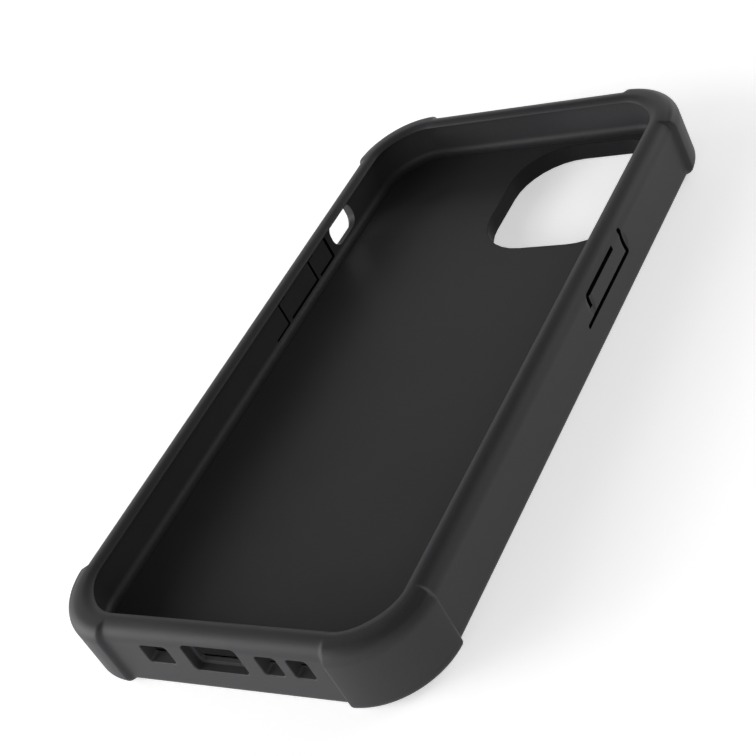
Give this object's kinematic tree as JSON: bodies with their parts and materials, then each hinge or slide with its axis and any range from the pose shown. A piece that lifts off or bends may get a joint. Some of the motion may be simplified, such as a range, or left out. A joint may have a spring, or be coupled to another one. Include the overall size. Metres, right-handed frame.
{
  "type": "phone case",
  "caption": "Protective phone case: soft bumper frame with raised lip, hard back plate, camera window, thick corner pads and pressable side buttons.",
  "frame": {"origin": "centre of the footprint on the plane the back rests on", "axes": "+X towards the power button side, +Y towards the camera end, +Z out of the open side"},
  "size_m": [0.0826, 0.1584, 0.0145],
  "materials": {
    "soft_rubber": "matte moulded soft plastic",
    "pad_rubber": "matte moulded soft plastic",
    "button_rubber": "matte moulded soft plastic",
    "hard_shell": "satin",
    "lining": "fine short nap"
  },
  "bodies": {
    "case": {"bumper_frame": "soft_rubber", "back_plate": "hard_shell", "inner_liner": "lining", "camera_guard": "hard_shell", "corner_pad_bottom_left": "pad_rubber", "corner_pad_bottom_right": "pad_rubber", "corner_pad_top_left": "pad_rubber", "corner_pad_top_right": "pad_rubber"},
    "power_button_body": {"power_button": "button_rubber"},
    "volume_up_body": {"volume_up_button": "button_rubber"},
    "volume_down_body": {"volume_down_button": "button_rubber"}
  },
  "joints": [
    {"name": "power_press", "type": "slide", "parent": "case", "child": "power_button_body", "axis": [-1, 0, 0], "range_m": [0, 0.0006], "stiffness_N_per_m": 2500},
    {"name": "volume_up_press", "type": "slide", "parent": "case", "child": "volume_up_body", "axis": [1, 0, 0], "range_m": [0, 0.0006], "stiffness_N_per_m": 2500},
    {"name": "volume_down_press", "type": "slide", "parent": "case", "child": "volume_down_body", "axis": [1, 0, 0], "range_m": [0, 0.0006], "stiffness_N_per_m": 2500}
  ]
}
